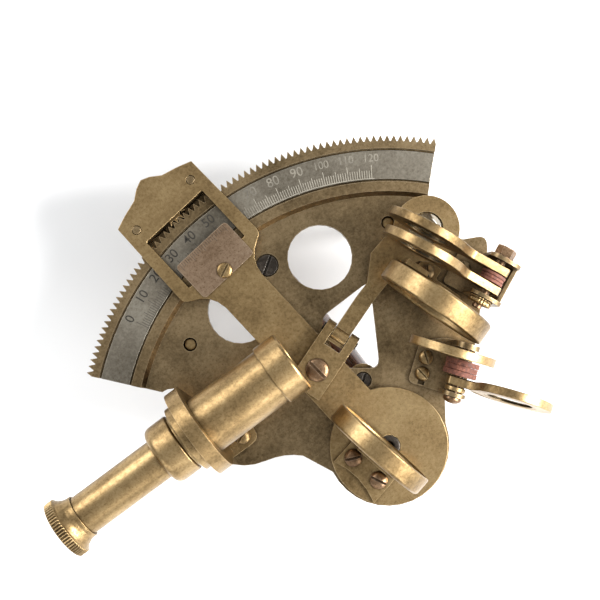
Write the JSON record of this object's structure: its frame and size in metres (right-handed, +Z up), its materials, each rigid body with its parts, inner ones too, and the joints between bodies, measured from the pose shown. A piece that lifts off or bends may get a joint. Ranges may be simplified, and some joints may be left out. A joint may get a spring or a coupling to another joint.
{
  "type": "nautical sextant",
  "caption": "Small antique-brass sextant: toothed graduated arc, swinging index arm with vernier and magnifier, mirrors, shades and telescope.",
  "frame": {"origin": "centre of the bottom of the bounding box, on the surface that the three legs stand on", "axes": "+Z up, from the legs to the mirrors; +X the long way, toward the eyepiece; the graduated arc is toward -Y and the pivot toward +Y"},
  "size_m": [0.1276, 0.1042, 0.0628],
  "materials": {
    "brass": "antique brass, hand-worn, brighter on edges",
    "dark_brass": "dark antique brass with olive-brown patina",
    "silvered_scale": "silvered brass, tarnished, with engraved black divisions",
    "vernier_plate": "tarnished nickel with a warm tint",
    "copper_screws": "red-brown aged bronze screws",
    "dark_screws": "blackened steel",
    "fibre_washers": "red vulcanised fibre",
    "lens_glass": "clear polished lens",
    "shade_glass": "dark neutral-brown shade glass",
    "mirror": "silvered mirror glass",
    "wood": "dark varnished hardwood"
  },
  "bodies": {
    "frame": {"frame_plate": "dark_brass", "scale_strip": "silvered_scale", "leg_scale_side": "brass", "leg_shade_side": "brass", "leg_hub": "brass", "handle_grip": "wood", "handle_post_limb": "brass", "handle_screw_limb": "dark_screws", "handle_post_hub": "brass", "handle_screw_hub": "dark_screws", "horizon_mirror_cell": "brass", "horizon_mirror_glass": "mirror", "horizon_mirror_foot": "brass", "horizon_mirror_screw": "dark_brass", "telescope_bracket": "brass", "telescope_screw": "brass", "telescope_tube": "brass", "telescope_collar": "brass", "objective_bezel": "brass", "objective_lens": "lens_glass", "horizon_shade_bracket": "dark_brass", "horizon_bracket_screw": "dark_brass", "horizon_shade_bolt": "copper_screws", "horizon_shade_nut": "brass", "horizon_shade_washers": "fibre_washers", "index_shade_bracket": "dark_brass", "index_bracket_screw_1": "brass", "index_bracket_screw_2": "brass", "index_shade_bolt": "copper_screws", "index_shade_bushing": "brass", "index_shade_washers": "fibre_washers"},
    "index_arm": {"index_arm": "brass", "arm_axle": "dark_screws", "arm_axle_nut": "dark_brass", "vernier_plate": "vernier_plate", "vernier_screw": "brass", "pinion_carrier": "dark_brass", "index_mirror_cell": "brass", "index_mirror_glass": "mirror", "index_mirror_foot": "brass", "index_mirror_screw_1": "copper_screws", "index_mirror_screw_2": "copper_screws", "clevis_screw": "copper_screws"},
    "tangent_drive": {"tangent_pinion": "brass", "tangent_knob": "brass"},
    "magnifier_swivel": {"magnifier_clevis": "brass", "magnifier_pin": "dark_screws"},
    "magnifier": {"magnifier_arm": "brass", "magnifier_lens": "lens_glass"},
    "draw_tube": {"draw_tube": "brass", "eyepiece_cap": "brass", "eye_lens": "lens_glass"},
    "horizon_shade_1": {"horizon_shade_1": "brass", "horizon_shade_1_glass": "shade_glass"},
    "horizon_shade_2": {"horizon_shade_2": "brass", "horizon_shade_2_glass": "shade_glass"},
    "index_shade_1": {"index_shade_1": "brass", "index_shade_1_glass": "shade_glass"},
    "index_shade_2": {"index_shade_2": "brass", "index_shade_2_glass": "shade_glass"}
  },
  "joints": [
    {"name": "index_arm_swing", "type": "hinge", "parent": "frame", "child": "index_arm", "pos_m": [-0.01169, 0.03668, 0.03], "axis": [0, 0, 1], "range_deg": [-2, 21]},
    {"name": "tangent_drive_turn", "type": "hinge", "parent": "index_arm", "child": "tangent_drive", "pos_m": [0.00089, -0.04191, 0.03], "axis": [0, 0, 1], "range_deg": [-60, 520]},
    {"name": "magnifier_swivel_turn", "type": "hinge", "parent": "index_arm", "child": "magnifier_swivel", "pos_m": [-0.00758, 0.01101, 0.03], "axis": [0, 0, 1], "range_deg": [0, 81]},
    {"name": "magnifier_tilt", "type": "hinge", "parent": "magnifier_swivel", "child": "magnifier", "pos_m": [-0.01675, 0.00727, 0.0362], "axis": [-0.3778, 0.9259, 0], "range_deg": [-2.5, 2.5]},
    {"name": "draw_tube_focus", "type": "slide", "parent": "frame", "child": "draw_tube", "axis": [0.999, 0.0436, 0], "range_m": [-0.02, 0.006]},
    {"name": "horizon_shade_1_swing", "type": "hinge", "parent": "frame", "child": "horizon_shade_1", "pos_m": [-0.05652, 0.01458, 0.046], "axis": [-0.887, -0.4617, 0], "range_deg": [0, 130]},
    {"name": "horizon_shade_2_swing", "type": "hinge", "parent": "frame", "child": "horizon_shade_2", "pos_m": [-0.05226, 0.01679, 0.046], "axis": [-0.887, -0.4617, 0], "range_deg": [0, 119]},
    {"name": "index_shade_1_swing", "type": "hinge", "parent": "frame", "child": "index_shade_1", "pos_m": [-0.03957, 0.02829, 0.037], "axis": [-0.7771, -0.6293, 0], "range_deg": [-10, 108]},
    {"name": "index_shade_2_swing", "type": "hinge", "parent": "frame", "child": "index_shade_2", "pos_m": [-0.03436, 0.03251, 0.037], "axis": [-0.7771, -0.6293, 0], "range_deg": [-120, 0]}
  ],
  "couplings": [
    {"joint": "tangent_drive_turn", "follows": "index_arm_swing", "ratio": 24}
  ]
}
